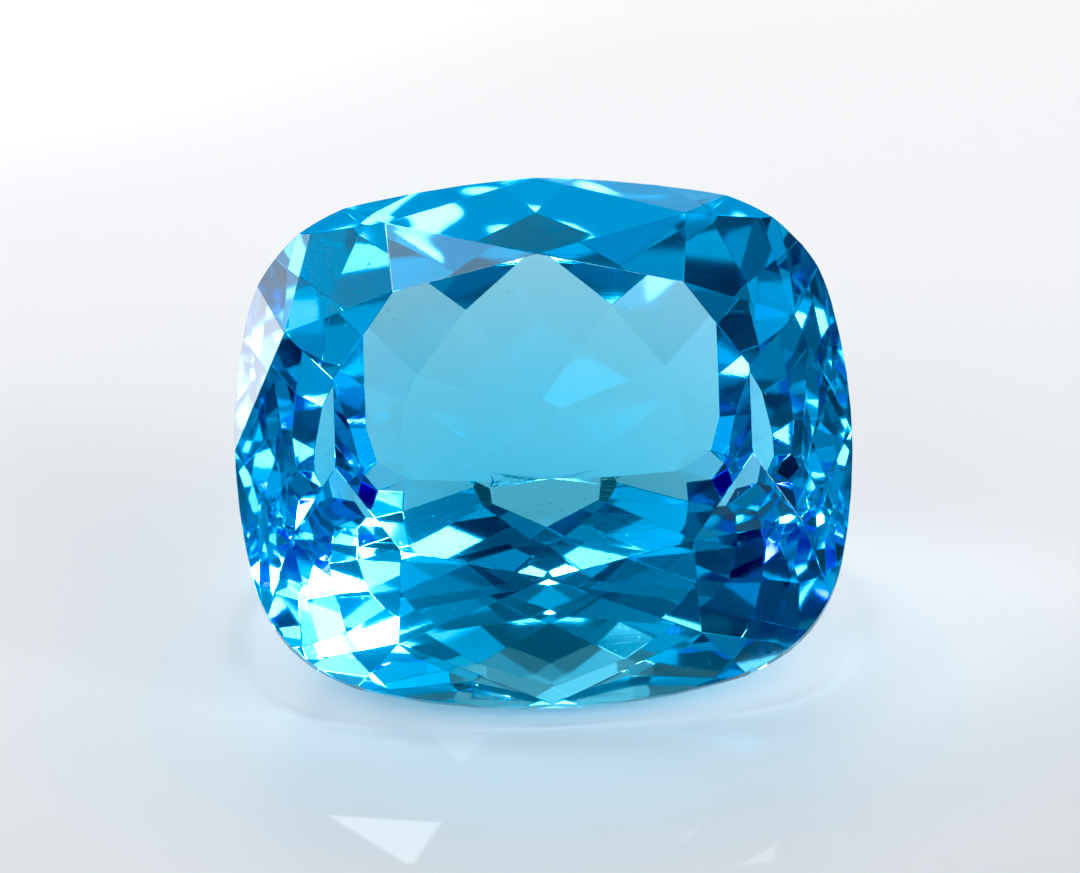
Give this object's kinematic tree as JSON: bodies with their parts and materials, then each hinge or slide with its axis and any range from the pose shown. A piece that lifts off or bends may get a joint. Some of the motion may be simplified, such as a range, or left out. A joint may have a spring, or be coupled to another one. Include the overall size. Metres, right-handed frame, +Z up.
{
  "type": "cushion-cut blue topaz",
  "caption": "Loose faceted blue topaz, cushion-cut with a large table, lying tilted on one facet of its deep pavilion.",
  "frame": {"origin": "middle of the bounding box's bottom, on the plane the stone lies on", "axes": "+X along the long sides of the outline; +Z up, away from the pavilion facet the stone lies on; the table faces between +Z and -Y, 45 degrees from each"},
  "size_m": [0.02, 0.0134, 0.0134],
  "materials": {
    "topaz": "polished"
  },
  "bodies": {
    "root": {"topaz": "topaz"}
  },
  "joints": []
}
